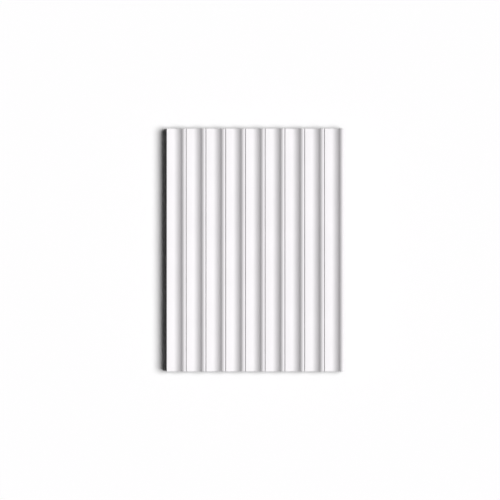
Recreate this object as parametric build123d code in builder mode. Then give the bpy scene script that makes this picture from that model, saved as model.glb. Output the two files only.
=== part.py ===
# Fluted wall panel, one moulded piece, lying on its flat back with the fluted face up.
# The flutes run along Y. Each repeat of the face is a hollow flute that slopes down from a thin lip and
# sweeps up more steeply into a rounded bead, and a quirk, which is a fine groove, parts that bead
# from the lip of the next flute. The origin is at the middle of the back, and +Z points out of the face.

from build123d import *

import os
from math import cos, radians, sin, sqrt

# Driving dimensions, in millimetres
panel_length = 205.5
panel_thickness = 12.0
flute_count = 9
flute_depth = 3.7
bottom_radius = 5.3
lip_side_radius = 26.0
bead_side_radius = 8.2
bead_radius = 2.8
shoulder_radius = 1.35
quirk_width = 0.35
quirk_wall = 0.3
lip_radius = 0.25

# Slope, in degrees, at which the curve of a flute's bottom passes into the curve of either side
side_slope = 23.0
slope_run = sin(radians(side_slope))
slope_rise = cos(radians(side_slope))

# Places across one repeat, from the lip of its flute, and heights from the plane of the face.
# The flute is three circles, each tangent to the next. The first passes through the lip. The last is
# tangent to the bead's circle, which touches the plane of the face at the bead's crest.
lip_side_offset = lip_side_radius - bottom_radius
lip_side_centre_z = lip_side_offset * slope_rise + bottom_radius - flute_depth
lip_side_centre_x = sqrt(lip_side_radius**2 - lip_side_centre_z**2)
bottom_x = lip_side_centre_x - lip_side_offset * slope_run
bottom_start_x = bottom_x - bottom_radius * slope_run
bottom_end_x = bottom_x + bottom_radius * slope_run
bottom_end_z = bottom_radius * (1 - slope_rise) - flute_depth

bead_side_offset = bead_side_radius - bottom_radius
bead_side_centre_x = bottom_x - bead_side_offset * slope_run
bead_side_centre_z = bead_side_offset * slope_rise + bottom_radius - flute_depth
centre_distance = bead_side_radius + bead_radius
centre_fall = bead_side_centre_z + bead_radius
centre_run = sqrt(centre_distance**2 - centre_fall**2)
crest_x = bead_side_centre_x + centre_run
turn_share = bead_side_radius / centre_distance
turn_x = bead_side_centre_x + turn_share * centre_run
turn_z = bead_side_centre_z - turn_share * centre_fall
shoulder_x = crest_x + shoulder_radius
flute_pitch = shoulder_x + quirk_width

# Heights above the back
face_z = panel_thickness
shoulder_z = face_z - shoulder_radius
quirk_z = shoulder_z - quirk_wall

# The last bead ends at the panel's long edge, with no quirk after it.
panel_width = flute_count * flute_pitch - quirk_width
left_x = -panel_width / 2
right_x = panel_width / 2


def flute_and_bead(lip_x):
    """Draws one flute, its bead and the bead's short shoulder, and returns the shoulder's foot."""
    slope = RadiusArc((lip_x, face_z), (lip_x + bottom_start_x, face_z + bottom_end_z), -lip_side_radius)
    bottom = RadiusArc(slope @ 1, (lip_x + bottom_end_x, face_z + bottom_end_z), -bottom_radius)
    sweep = RadiusArc(bottom @ 1, (lip_x + turn_x, face_z + turn_z), -bead_side_radius)
    bead = RadiusArc(sweep @ 1, (lip_x + crest_x, face_z), bead_radius)
    shoulder = RadiusArc(bead @ 1, (lip_x + shoulder_x, shoulder_z), shoulder_radius)
    return shoulder @ 1


with BuildPart() as fluted_panel:
    with BuildSketch(Plane.XZ) as section:
        with BuildLine():
            for index in range(flute_count):
                lip_x = left_x + index * flute_pitch
                foot = flute_and_bead(lip_x)
                if index < flute_count - 1:
                    next_lip_x = lip_x + flute_pitch
                    Polyline(foot, (foot.X, quirk_z), (next_lip_x, quirk_z), (next_lip_x, face_z))
            Polyline(foot, (right_x, 0), (left_x, 0), (left_x, face_z))
        make_face()
        # Along the plane of the face, lips and bead crests take turns, and the lips are eased.
        lips = section.vertices().group_by(Axis.Y)[-1].sort_by(Axis.X)[::2]
        fillet(lips, lip_radius)
    extrude(amount=panel_length / 2, both=True)

fluted_panel.part.label = "fluted_panel"
os.makedirs("parts", exist_ok=True)
export_step(fluted_panel.part, "parts/fluted_panel.step")
print(f"pitch {flute_pitch:.3f}, width {panel_width:.3f}, volume {fluted_panel.part.volume:.0f}")
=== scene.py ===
import math

import bpy
import numpy as np
from bpy.props import FloatProperty, FloatVectorProperty, IntProperty, PointerProperty
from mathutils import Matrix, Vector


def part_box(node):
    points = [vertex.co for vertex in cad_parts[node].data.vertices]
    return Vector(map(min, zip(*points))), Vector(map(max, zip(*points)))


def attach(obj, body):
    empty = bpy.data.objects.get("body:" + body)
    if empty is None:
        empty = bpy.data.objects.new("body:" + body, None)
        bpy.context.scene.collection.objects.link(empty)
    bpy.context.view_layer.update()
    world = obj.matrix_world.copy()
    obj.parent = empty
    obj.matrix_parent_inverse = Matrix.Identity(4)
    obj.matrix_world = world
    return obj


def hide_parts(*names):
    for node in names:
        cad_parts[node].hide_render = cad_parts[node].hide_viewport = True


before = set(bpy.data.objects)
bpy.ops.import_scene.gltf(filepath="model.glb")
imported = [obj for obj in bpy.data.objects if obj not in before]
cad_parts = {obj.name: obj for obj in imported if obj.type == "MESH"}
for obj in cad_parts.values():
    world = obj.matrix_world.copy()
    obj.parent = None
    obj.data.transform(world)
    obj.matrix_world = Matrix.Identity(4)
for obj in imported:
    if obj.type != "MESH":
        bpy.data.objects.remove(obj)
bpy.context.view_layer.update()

bl_info = {
    "name": "Fluted Wall Panel",
    "version": (1, 0, 0),
    "blender": (4, 5, 0),
    "location": "3D View > Sidebar > Wall Panel",
    "description": "A white fluted wall panel on its back, with the studio that shows it",
    "category": "Add Mesh",
}

MM = 0.001

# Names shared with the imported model
PANEL_NODE = "fluted_panel"
PANEL_BODY = "root"

# The image is square, so its width in pixels serves both ways
IMAGE_PIXELS = 500
PANEL_CENTRE_COLUMN = 255.27

# How finely the surface is divided
LONGEST_CHORD = 0.45 * MM
WIDEST_TURN = math.radians(7.5)
LENGTH_SPANS = 40
SECTION_ROWS = 5
EASING_STEPS = 4
SHARP_ANGLE = math.radians(35)

# Two points close each repeat: the corners of the quirk's floor
QUIRK_CORNERS = 2

# How far the repeats may miss the panel's far edge
WIDTH_TOLERANCE = 0.05 * MM

# Features of the finish to the metre; the drawn lines are many across the panel and few along it
PATCHES = 30.0
DRAWN_LINES = (900.0, 6.0, 900.0)
STIPPLES = 1300.0
SAW_MARKS = 210.0
FOAM_CELLS = 1600.0

# Where the noise turns from white to shade, where a cell rises to its wall, and how strongly painted shade
# darkens a cell's hollow
PATCH_EDGE = (0.35, 0.65)
CELL_WALL = (0.1, 0.6)
CELL_PAINTED_SHADE_SHARE = 0.8

# From the saw blade's middle to the panel's, in metres
BLADE_OFFSET = (0.03, 0.0, 0.11)

# Noise varies about this value
NOISE_MIDDLE = 0.5

# From the panel's edges to the flag round them
FLAG_GAP = 0.02 * MM

# How far the camera sees, in metres
CAMERA_REACH = 100.0

# Sockets of a Mix node that blends colours
MIX_FACTOR, MIX_FIRST, MIX_SECOND, MIX_COLOUR = 0, 6, 7, 2


def length(label, description, millimetres):
    """A length in metres whose default is given in millimetres."""
    return FloatProperty(
        name=label,
        description=description,
        default=millimetres * MM,
        min=0.0,
        precision=5,
        unit="LENGTH",
    )


def fraction(label, description, default):
    """A number from 0 to 1."""
    return FloatProperty(name=label, description=description, default=default, min=0.0, max=1.0,
                         subtype="FACTOR")


def colour(label, description, default):
    """A colour as linear red, green and blue."""
    return FloatVectorProperty(name=label, description=description, default=default, size=3, min=0.0, max=1.0,
                               subtype="COLOR")


def angle(label, description, degrees):
    """An angle in radians whose default is given in degrees."""
    return FloatProperty(name=label, description=description, default=math.radians(degrees), subtype="ANGLE")


class WALLPANEL_PG_section(bpy.types.PropertyGroup):
    """Sizes of the panel's section, which is the same along its whole length."""

    flute_count: IntProperty(name="Flutes", description="Flutes across the face", default=9, min=2)
    flute_depth: length("Flute depth", "Plane of the face down to the bottom of a flute", 3.7)
    bottom_radius: length("Bottom", "Curve of a flute's bottom", 5.3)
    lip_side_radius: length("Lip side", "Curve of a flute between its lip and its bottom", 26.0)
    bead_side_radius: length("Bead side", "Curve of a flute between its bottom and its bead", 8.2)
    side_slope: angle("Side slope", "Slope at which the bottom's curve passes into either side's", 23.0)
    bead_radius: length("Bead", "Round of a bead on its flute's side", 2.8)
    shoulder_radius: length("Shoulder", "Round of a bead on its quirk's side", 1.35)
    quirk_width: length("Quirk width", "Fine groove between a bead and the next lip", 0.35)
    quirk_wall: length("Quirk wall", "Straight wall of a quirk below the bead's shoulder", 0.3)
    lip_radius: length("Lip", "Easing of a flute's lip", 0.25)
    end_easing: length("End easing", "Easing of the arrises round a sawn end", 0.15)


class WALLPANEL_PG_finish(bpy.types.PropertyGroup):
    """Colours, painted shade in the sawn cells and fine relief of the white foamed plastic."""

    white: colour("White", "Moulded faces", (0.765, 0.748, 0.765))
    white_shade: colour("White, shaded", "Darker patches of the moulded faces", (0.750, 0.733, 0.750))
    sawn_white: colour("Sawn white", "Open foam on the sawn ends", (0.745, 0.732, 0.742))
    # Painted shade: a darker colour put in the hollows of the foam's cells on the sawn ends
    cell_hollow_painted_shade: colour("Cell shade", "Bottoms of the foam's cells on the sawn ends", (0.62, 0.61, 0.62))
    roughness: fraction("Roughness", "Moulded faces", 0.56)
    roughness_change: fraction("Roughness change", "How much the drawn lines change the gloss", 0.10)
    sawn_roughness: fraction("Sawn roughness", "Added on the sawn ends", 0.30)
    specular: fraction("Specular level", "Strength of the clear reflection", 0.33)
    stipple_height: length("Stipple", "Height of the faces' fine stipple", 0.004)
    drawn_height: length("Drawn lines", "Height of the fine lines along the flutes", 0.005)
    saw_height: length("Saw marks", "Height of the marks on the sawn ends", 0.04)
    cell_height: length("Cells", "Depth of the foam's cells on the sawn ends", 0.05)


class WALLPANEL_PG_studio(bpy.types.PropertyGroup):
    """Floor, flag, light and camera."""

    floor_white: colour("Floor", "Pale studio floor", (0.995, 0.990, 0.995))
    flag_height: length("Flag height", "Black band round the panel, lower than its flutes", 8.0)
    key_elevation: angle("Key elevation", "Height of the key light over the bead side", 58.0)
    key_spread: angle("Key spread", "Width of the key light, which softens its shadow", 34.0)
    key_level: fraction("Key level", "Light on a level surface from the key light", 0.95)
    room_level: fraction("Room level", "Light from the room all round", 0.05)
    lens: FloatProperty(name="Lens", description="Focal length in millimetres", default=600.0, min=1.0,
                        unit="CAMERA")
    view_width: length("View width", "What the image's width takes in, at the plane of the face", 422.84)
    floor_reach: FloatProperty(name="Floor reach", description="Middle of the floor to its rim", default=15.0,
                               unit="LENGTH")


class Wire:
    """A shader socket whose arithmetic adds Math nodes."""

    def __init__(self, shader, socket):
        self.shader = shader
        self.socket = socket

    def join(self, operation, first, second):
        return self.shader.node("ShaderNodeMath", {"operation": operation}, {0: first, 1: second})

    def __add__(self, other):
        return self.join("ADD", self, other)

    def __sub__(self, other):
        return self.join("SUBTRACT", self, other)

    def __rsub__(self, other):
        return self.join("SUBTRACT", other, self)

    def __mul__(self, other):
        return self.join("MULTIPLY", self, other)

    __radd__ = __add__
    __rmul__ = __mul__


class Shader:
    """A node tree that is filled node by node."""

    def __init__(self, owner):
        owner.use_nodes = True
        self.tree = owner.node_tree
        self.tree.nodes.clear()

    def node(self, kind, settings=None, inputs=None, output=0):
        """Adds a node, sets it up, then sets or links its sockets. Returns the named output."""
        node = self.tree.nodes.new(kind)
        for name, value in (settings or {}).items():
            setattr(node, name, value)
        for name, value in (inputs or {}).items():
            if isinstance(value, Wire):
                self.tree.links.new(value.socket, node.inputs[name])
            else:
                node.inputs[name].default_value = value
        return Wire(self, node.outputs[output]) if node.outputs else None

    def noise(self, place, scale, detail=2.0):
        """Soft noise of about 0 to 1 with `scale` features to the metre, or to a stretched place's unit."""
        return self.node("ShaderNodeTexNoise", inputs={"Vector": place, "Scale": scale, "Detail": detail},
                         output="Fac")

    def blend(self, factor, first, second):
        """The first colour where the factor is 0 and the second where it is 1."""
        return self.node(
            "ShaderNodeMix",
            {"data_type": "RGBA"},
            {MIX_FACTOR: factor, MIX_FIRST: first, MIX_SECOND: second},
            MIX_COLOUR,
        )

    def seen_directly(self):
        """1 for rays that show a thing as it looks, and 0 for rays that only carry its light."""
        camera = self.node("ShaderNodeLightPath", output="Is Camera Ray")
        glossy = self.node("ShaderNodeLightPath", output="Is Glossy Ray")
        passing = self.node("ShaderNodeLightPath", output="Is Transmission Ray")
        return camera.join("MAXIMUM", camera.join("MAXIMUM", camera, glossy), passing)

    def step(self, value, low, high):
        """Rises smoothly from 0 at `low` to 1 at `high`."""
        return self.node(
            "ShaderNodeMapRange",
            {"interpolation_type": "SMOOTHSTEP"},
            {"Value": value, "From Min": low, "From Max": high},
        )


def opaque(rgb):
    """A colour with full alpha, as sockets take it."""
    return (*rgb, 1.0)


def foam_white(finish, end_y, end_easing):
    """White foamed plastic: smooth and faintly drawn along the flutes, open and sawn on the ends, with
    painted shade in the hollows of the sawn cells.

    A point is on a sawn end where its Y lies within the end's easing of `end_y`, either way from the middle.
    """
    material = bpy.data.materials.new("white_foam")
    shader = Shader(material)
    place = shader.node("ShaderNodeTexCoord", output="Object")
    along = shader.node("ShaderNodeSeparateXYZ", inputs={"Vector": place}, output="Y")
    from_middle = shader.node("ShaderNodeMath", {"operation": "ABSOLUTE"}, {0: along})
    sawn = shader.step(from_middle, end_y - end_easing, end_y - end_easing / 2)
    moulded = 1.0 - sawn

    # Moulded faces: broad faint patches, lines drawn along Y and a fine stipple
    patches = shader.noise(place, PATCHES, detail=3.0)
    stretched = shader.node("ShaderNodeMapping", inputs={"Vector": place, "Scale": DRAWN_LINES})
    drawn = shader.noise(stretched, 1.0, detail=3.0)
    stipple = shader.noise(place, STIPPLES)

    # Sawn ends: arcs left by a round blade and the foam's cells, whose hollows get painted shade
    blade = shader.node("ShaderNodeMapping", inputs={"Vector": place, "Location": BLADE_OFFSET})
    arcs = shader.node(
        "ShaderNodeTexWave",
        {"wave_type": "RINGS", "rings_direction": "Y"},
        {"Vector": blade, "Scale": SAW_MARKS, "Distortion": 2.0, "Detail": 2.0, "Detail Scale": 1.5},
        "Fac",
    )
    cells = shader.node("ShaderNodeTexVoronoi", inputs={"Vector": place, "Scale": FOAM_CELLS},
                        output="Distance")
    cell_depth = 1.0 - shader.step(cells, *CELL_WALL)

    moulded_height = drawn * finish.drawn_height + stipple * finish.stipple_height
    sawn_height = arcs * finish.saw_height - cell_depth * finish.cell_height
    height = moulded * moulded_height + sawn * sawn_height
    relief = shader.node("ShaderNodeBump", inputs={"Strength": 1.0, "Distance": 1.0, "Height": height})

    shaded = shader.step(patches, *PATCH_EDGE)
    face_colour = shader.blend(shaded, opaque(finish.white), opaque(finish.white_shade))
    # Painted shade: the cells' hollows are darkened in colour, where the bump sinks them
    end_colour = shader.blend(cell_depth * CELL_PAINTED_SHADE_SHARE, opaque(finish.sawn_white), opaque(finish.cell_hollow_painted_shade))
    base = shader.blend(sawn, face_colour, end_colour)
    gloss = finish.roughness + (drawn - NOISE_MIDDLE) * finish.roughness_change + sawn * finish.sawn_roughness
    surface = shader.node(
        "ShaderNodeBsdfPrincipled",
        inputs={
            "Base Color": base,
            "Roughness": gloss,
            "Normal": relief,
            "Specular IOR Level": finish.specular,
        },
    )
    shader.node("ShaderNodeOutputMaterial", inputs={"Surface": surface})
    return material


def arc_points(centre, radius, start, stop):
    """Points on a circle: x = cx + radius sin(a) and z = cz + radius cos(a), for even steps of the angle a.

    No step is longer than LONGEST_CHORD or turns more than WIDEST_TURN."""
    sweep = abs(stop - start)
    steps = math.ceil(max(radius * sweep / LONGEST_CHORD, sweep / WIDEST_TURN))
    turn = np.linspace(start, stop, steps + 1)
    return np.column_stack((centre[0] + radius * np.sin(turn), centre[1] + radius * np.cos(turn)))


def repeat_outline(sizes):
    """One repeat of the face as points (x, z), with its pitch.

    x runs from the lip's wall and z from the plane of the face. The outline is the eased lip, the three
    curves of the flute, the bead and its shoulder, each a circle tangent to the one before, then the
    quirk's floor. Two tangent circles have their centres on one line through the point where they meet,
    so each centre is found from the one before.
    """
    depth, bottom_radius = sizes.flute_depth, sizes.bottom_radius
    run, rise = math.sin(sizes.side_slope), math.cos(sizes.side_slope)
    lip_offset = sizes.lip_side_radius - bottom_radius
    bead_offset = sizes.bead_side_radius - bottom_radius

    # Centres of the flute's three circles, from its lip
    lip_side_z = lip_offset * rise + bottom_radius - depth
    lip_side_x = math.sqrt(sizes.lip_side_radius**2 - lip_side_z**2)
    bottom_x = lip_side_x - lip_offset * run
    bead_side_x = bottom_x - bead_offset * run
    bead_side_z = bead_offset * rise + bottom_radius - depth

    # The bead, its shoulder and its quirk
    bead_distance = sizes.bead_side_radius + sizes.bead_radius
    bead_turn = math.acos((bead_side_z + sizes.bead_radius) / bead_distance)
    crest_x = bead_side_x + bead_distance * math.sin(bead_turn)
    shoulder_x = crest_x + sizes.shoulder_radius
    pitch = shoulder_x + sizes.quirk_width
    quirk_z = -sizes.shoulder_radius - sizes.quirk_wall

    # The lip's easing touches its wall and the first circle
    lip_distance = sizes.lip_side_radius + sizes.lip_radius
    lip_turn = math.asin((lip_side_x - sizes.lip_radius) / lip_distance)
    lip_z = lip_side_z - lip_distance * math.cos(lip_turn)

    # Angles are measured from straight up, so the flute's circles are drawn about half a turn
    down = math.pi
    upright = math.pi / 2
    slope = sizes.side_slope
    arcs = (
        arc_points((sizes.lip_radius, lip_z), sizes.lip_radius, -upright, lip_turn),
        arc_points((lip_side_x, lip_side_z), sizes.lip_side_radius, down + lip_turn, down + slope),
        arc_points((bottom_x, bottom_radius - depth), bottom_radius, down + slope, down - slope),
        arc_points((bead_side_x, bead_side_z), sizes.bead_side_radius, down - slope, down - bead_turn),
        arc_points((crest_x, -sizes.bead_radius), sizes.bead_radius, -bead_turn, 0.0),
        arc_points((crest_x, -sizes.shoulder_radius), sizes.shoulder_radius, 0.0, upright),
    )
    quirk = np.array(((shoulder_x, quirk_z), (pitch, quirk_z)))
    # Neighbouring arcs share a point, so each arc after the first leaves out its own
    return np.vstack((arcs[0], *(arc[1:] for arc in arcs[1:]), quirk)), pitch


def face_outline(sizes, left_x, face_z):
    """The whole face as points (x, z): the repeats side by side, the last one without its quirk."""
    repeat, pitch = repeat_outline(sizes)
    shifts = np.arange(sizes.flute_count)[:, None, None] * np.array((pitch, 0.0))
    return (repeat + shifts).reshape(-1, 2)[:-QUIRK_CORNERS] + (left_x, face_z)


def section_grid(outline):
    """The section as rows of points: row t is (1 - t) of the face's outline and t of the back's line.

    The back's points share out the width as the outline shares out its length."""
    steps = np.linalg.norm(np.diff(outline, axis=0), axis=1)
    share = np.append(0.0, np.cumsum(steps)) / steps.sum()
    back_x = outline[0, 0] + share * (outline[-1, 0] - outline[0, 0])
    back = np.column_stack((back_x, np.zeros_like(back_x)))
    down = np.linspace(0.0, 1.0, SECTION_ROWS + 1)[:, None, None]
    return (1 - down) * outline + down * back


def rim_of(index):
    """The border of a grid of indices as one closed run: along the top, down, back along the foot, and up."""
    return np.concatenate((index[0], index[1:, -1], index[-1, -2::-1], index[-2:0:-1, 0]))


def inward(ring):
    """How far each point of a clockwise ring moves when every side moves in by one: (m + n) / (1 + m . n).

    m and n are the inward normals of the sides before and after the point."""
    side = np.roll(ring, -1, axis=0) - ring
    side /= np.linalg.norm(side, axis=1, keepdims=True)
    after = np.column_stack((side[:, 1], -side[:, 0]))
    before = np.roll(after, 1, axis=0)
    return (before + after) / (1 + np.sum(before * after, axis=1, keepdims=True))


def panel_surface(sizes, low, high):
    """The closed skin of the panel: its section's rim carried along Y, and a grid of the section on each end.

    Round each end the rim moves in along a quarter circle, so the arrises there are eased. Returns the
    points and the quads, which face outwards.
    """
    outline = face_outline(sizes, low.x, high.z)
    if abs(outline[-1, 0] - high.x) > WIDTH_TOLERANCE:
        raise ValueError("the flutes and beads do not add up to the panel's width")
    grid = section_grid(outline)
    rows, columns = grid.shape[:2]
    rim = rim_of(np.arange(rows * columns).reshape(rows, columns))
    ring = grid.reshape(-1, 2)[rim]

    turn = np.linspace(0.0, math.pi / 2, EASING_STEPS + 1)
    inset = sizes.end_easing * (1 - np.sin(turn))
    reach = sizes.end_easing * (1 - np.cos(turn))
    middle = np.linspace(low.y + sizes.end_easing, high.y - sizes.end_easing, LENGTH_SPANS + 1)[1:-1]
    stations = np.concatenate((low.y + reach, middle, (high.y - reach)[::-1]))
    insets = np.concatenate((inset, np.zeros_like(middle), inset[::-1]))
    rings = ring + insets[:, None, None] * inward(ring)
    along = np.broadcast_to(stations[:, None], rings.shape[:2])
    skin = np.stack((rings[..., 0], along, rings[..., 1]), axis=-1)

    inner = grid[1:-1, 1:-1].reshape(-1, 2)
    near = np.column_stack((inner[:, 0], np.full(len(inner), low.y), inner[:, 1]))
    far = np.column_stack((inner[:, 0], np.full(len(inner), high.y), inner[:, 1]))
    points = np.vstack((skin.reshape(-1, 3), near, far))

    index = np.arange(skin.shape[0] * skin.shape[1]).reshape(skin.shape[:2])
    around = np.roll(index, -1, axis=1)
    sides = np.stack((index[:-1], around[:-1], around[1:], index[1:]), axis=-1).reshape(-1, 4)
    near_cap = np.empty((rows, columns), int)
    near_cap.flat[rim] = index[0]
    near_cap[1:-1, 1:-1] = (index.size + np.arange(len(inner))).reshape(rows - 2, columns - 2)
    far_cap = np.empty((rows, columns), int)
    far_cap.flat[rim] = index[-1]
    far_cap[1:-1, 1:-1] = near_cap[1:-1, 1:-1] + len(inner)
    return points, np.vstack((sides, cap_quads(near_cap), cap_quads(far_cap)[:, ::-1]))


def cap_quads(index):
    """The quads of a section's grid of indices, facing towards -Y."""
    return np.stack((index[:-1, :-1], index[1:, :-1], index[1:, 1:], index[:-1, 1:]), axis=-1).reshape(-1, 4)


class WALLPANEL_OT_panel(bpy.types.Operator):
    """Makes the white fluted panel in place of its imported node."""

    bl_idname = "wall_panel.panel"
    bl_label = "Fluted panel"

    def execute(self, context):
        low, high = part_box(PANEL_NODE)
        sizes = context.scene.wall_panel_section
        points, quads = panel_surface(sizes, low, high)
        mesh = bpy.data.meshes.new("white_fluted_panel")
        mesh.from_pydata(points.tolist(), [], quads.tolist())
        mesh.shade_smooth()
        mesh.set_sharp_from_angle(angle=SHARP_ANGLE)
        mesh.materials.append(foam_white(context.scene.wall_panel_finish, high.y, sizes.end_easing))
        panel = bpy.data.objects.new("white_fluted_panel", mesh)
        context.scene.collection.objects.link(panel)
        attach(panel, PANEL_BODY)
        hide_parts(PANEL_NODE)
        return {"FINISHED"}


def studio_floor(studio):
    """A level square of matt white under the panel."""
    reach = studio.floor_reach
    corners = [(-reach, -reach, 0.0), (reach, -reach, 0.0), (reach, reach, 0.0), (-reach, reach, 0.0)]
    mesh = bpy.data.meshes.new("studio_floor")
    mesh.from_pydata(corners, [], [(0, 1, 2, 3)])
    material = bpy.data.materials.new("floor_white")
    shader = Shader(material)
    surface = shader.node("ShaderNodeBsdfDiffuse", inputs={"Color": opaque(studio.floor_white)})
    shader.node("ShaderNodeOutputMaterial", inputs={"Surface": surface})
    mesh.materials.append(material)
    return bpy.data.objects.new("studio_floor", mesh)


def black_flag(studio, low, high):
    """A black band close round the panel that keeps the light of its white edges off the floor.

    Only diffuse rays meet it, and only from outside, so it is in no picture and casts no shadow.
    """
    left, right = low.x - FLAG_GAP, high.x + FLAG_GAP
    near, far = low.y - FLAG_GAP, high.y + FLAG_GAP
    corners = ((left, near), (right, near), (right, far), (left, far))
    points = [(*corner, z) for z in (0.0, studio.flag_height) for corner in corners]
    mesh = bpy.data.meshes.new("black_flag")
    mesh.from_pydata(points, [], [(0, 1, 5, 4), (1, 2, 6, 5), (2, 3, 7, 6), (3, 0, 4, 7)])
    material = bpy.data.materials.new("flag_black")
    shader = Shader(material)
    inside = shader.node("ShaderNodeNewGeometry", output="Backfacing")
    black = shader.node("ShaderNodeBsdfDiffuse", inputs={"Color": opaque((0.0, 0.0, 0.0))})
    clear = shader.node("ShaderNodeBsdfTransparent")
    surface = shader.node("ShaderNodeMixShader", inputs={0: inside, 1: black, 2: clear})
    shader.node("ShaderNodeOutputMaterial", inputs={"Surface": surface})
    mesh.materials.append(material)
    flag = bpy.data.objects.new("black_flag", mesh)
    flag.visible_camera = False
    flag.visible_glossy = False
    flag.visible_transmission = False
    flag.visible_shadow = False
    return flag


def key_light(studio):
    """One broad soft light from far off on the bead side.

    With the room's light it shows a level surface in its own colour.
    """
    light = bpy.data.lights.new("key_light", "SUN")
    light.angle = studio.key_spread
    light.energy = math.pi * studio.key_level / math.sin(studio.key_elevation)
    lamp = bpy.data.objects.new("key_light", light)
    lamp.rotation_euler = (0.0, math.pi / 2 - studio.key_elevation, 0.0)
    return lamp


def white_room(studio):
    """A room that looks white to the camera and in reflections, and lights the panel only faintly."""
    room = bpy.data.worlds.new("white_room")
    shader = Shader(room)
    level = studio.room_level + shader.seen_directly() * (1.0 - studio.room_level)
    white = opaque((1.0, 1.0, 1.0))
    surface = shader.node("ShaderNodeBackground", inputs={"Color": white, "Strength": level})
    shader.node("ShaderNodeOutputWorld", inputs={"Surface": surface})
    return room


def camera_above(studio, face_z):
    """A long lens that looks straight down, with the panel's middle at its place in the image."""
    camera = bpy.data.cameras.new("camera_above")
    camera.lens = studio.lens
    camera.clip_end = CAMERA_REACH
    column_width = studio.view_width / IMAGE_PIXELS
    camera_x = (IMAGE_PIXELS / 2 - PANEL_CENTRE_COLUMN) * column_width
    rise = studio.view_width * camera.lens / camera.sensor_width
    holder = bpy.data.objects.new("camera_above", camera)
    holder.location = (camera_x, 0.0, face_z + rise)
    return holder


class WALLPANEL_OT_studio(bpy.types.Operator):
    """Makes the pale floor and its flag, the key light, the white room and the camera."""

    bl_idname = "wall_panel.studio"
    bl_label = "Studio"

    def execute(self, context):
        scene = context.scene
        studio = scene.wall_panel_studio
        low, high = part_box(PANEL_NODE)
        floor = studio_floor(studio)
        flag = black_flag(studio, low, high)
        camera = camera_above(studio, high.z)
        for item in (floor, flag, key_light(studio), camera):
            scene.collection.objects.link(item)
        scene.world = white_room(studio)
        scene.camera = camera
        scene.view_settings.view_transform = "Standard"
        return {"FINISHED"}


class WALLPANEL_PT_sidebar(bpy.types.Panel):
    """Lists the panel's sizes and finish, the studio's settings and their operators."""

    bl_idname = "WALLPANEL_PT_sidebar"
    bl_label = "Fluted Wall Panel"
    bl_space_type = "VIEW_3D"
    bl_region_type = "UI"
    bl_category = "Wall Panel"

    def draw(self, context):
        groups = (
            (context.scene.wall_panel_section, None),
            (context.scene.wall_panel_finish, WALLPANEL_OT_panel),
            (context.scene.wall_panel_studio, WALLPANEL_OT_studio),
        )
        for group, operator in groups:
            column = self.layout.column(align=True)
            for name in group.__annotations__:
                column.prop(group, name)
            if operator:
                self.layout.operator(operator.bl_idname)


classes = (
    WALLPANEL_PG_section,
    WALLPANEL_PG_finish,
    WALLPANEL_PG_studio,
    WALLPANEL_OT_panel,
    WALLPANEL_OT_studio,
    WALLPANEL_PT_sidebar,
)


def register():
    for item in classes:
        bpy.utils.register_class(item)
    bpy.types.Scene.wall_panel_section = PointerProperty(type=WALLPANEL_PG_section)
    bpy.types.Scene.wall_panel_finish = PointerProperty(type=WALLPANEL_PG_finish)
    bpy.types.Scene.wall_panel_studio = PointerProperty(type=WALLPANEL_PG_studio)


def unregister():
    del bpy.types.Scene.wall_panel_studio
    del bpy.types.Scene.wall_panel_finish
    del bpy.types.Scene.wall_panel_section
    for item in reversed(classes):
        bpy.utils.unregister_class(item)


def main():
    """Registers the classes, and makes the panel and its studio."""
    register()
    bpy.ops.wall_panel.panel()
    bpy.ops.wall_panel.studio()


if __name__ == "__main__":
    main()
